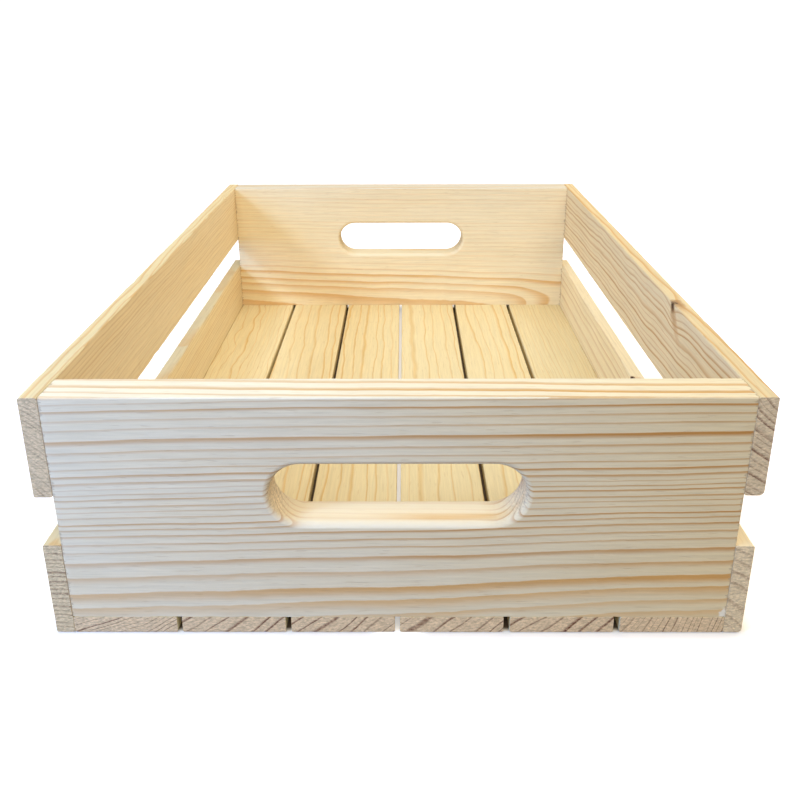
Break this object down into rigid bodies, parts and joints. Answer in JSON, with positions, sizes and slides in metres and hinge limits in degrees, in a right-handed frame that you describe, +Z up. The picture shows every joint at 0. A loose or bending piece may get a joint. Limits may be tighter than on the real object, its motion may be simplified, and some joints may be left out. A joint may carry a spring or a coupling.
{
  "type": "wooden apple crate",
  "caption": "Shallow open wooden crate of spaced slats stapled to two solid end boards, each with a rounded hand slot, for storing and carrying fruit.",
  "frame": {"origin": "on the ground, under the middle of the crate", "axes": "+Z up, +Y along the slats from the front end board to the back end board, +X to the right seen from the front"},
  "size_m": [0.3174, 0.4572, 0.12],
  "materials": {
    "end_board_pine": "bare planed pine, 20 mm thick, straight grain along the board",
    "side_slat_pine": "bare planed pine slat, sawn ends",
    "floor_slat_pine": "bare planed pine slat, sawn ends",
    "staple_wire": "zinc-plated wire"
  },
  "bodies": {
    "root": {"front_end_board": "end_board_pine", "back_end_board": "end_board_pine", "upper_left_slat": "side_slat_pine", "upper_right_slat": "side_slat_pine", "lower_left_slat": "side_slat_pine", "lower_right_slat": "side_slat_pine", "floor_slat_1": "floor_slat_pine", "floor_slat_2": "floor_slat_pine", "floor_slat_3": "floor_slat_pine", "floor_slat_4": "floor_slat_pine", "floor_slat_5": "floor_slat_pine", "floor_slat_6": "floor_slat_pine", "upper_left_slat_staples": "staple_wire", "upper_right_slat_staples": "staple_wire", "lower_left_slat_staples": "staple_wire", "lower_right_slat_staples": "staple_wire", "floor_slat_1_staples": "staple_wire", "floor_slat_2_staples": "staple_wire", "floor_slat_3_staples": "staple_wire", "floor_slat_4_staples": "staple_wire", "floor_slat_5_staples": "staple_wire", "floor_slat_6_staples": "staple_wire"}
  },
  "joints": []
}
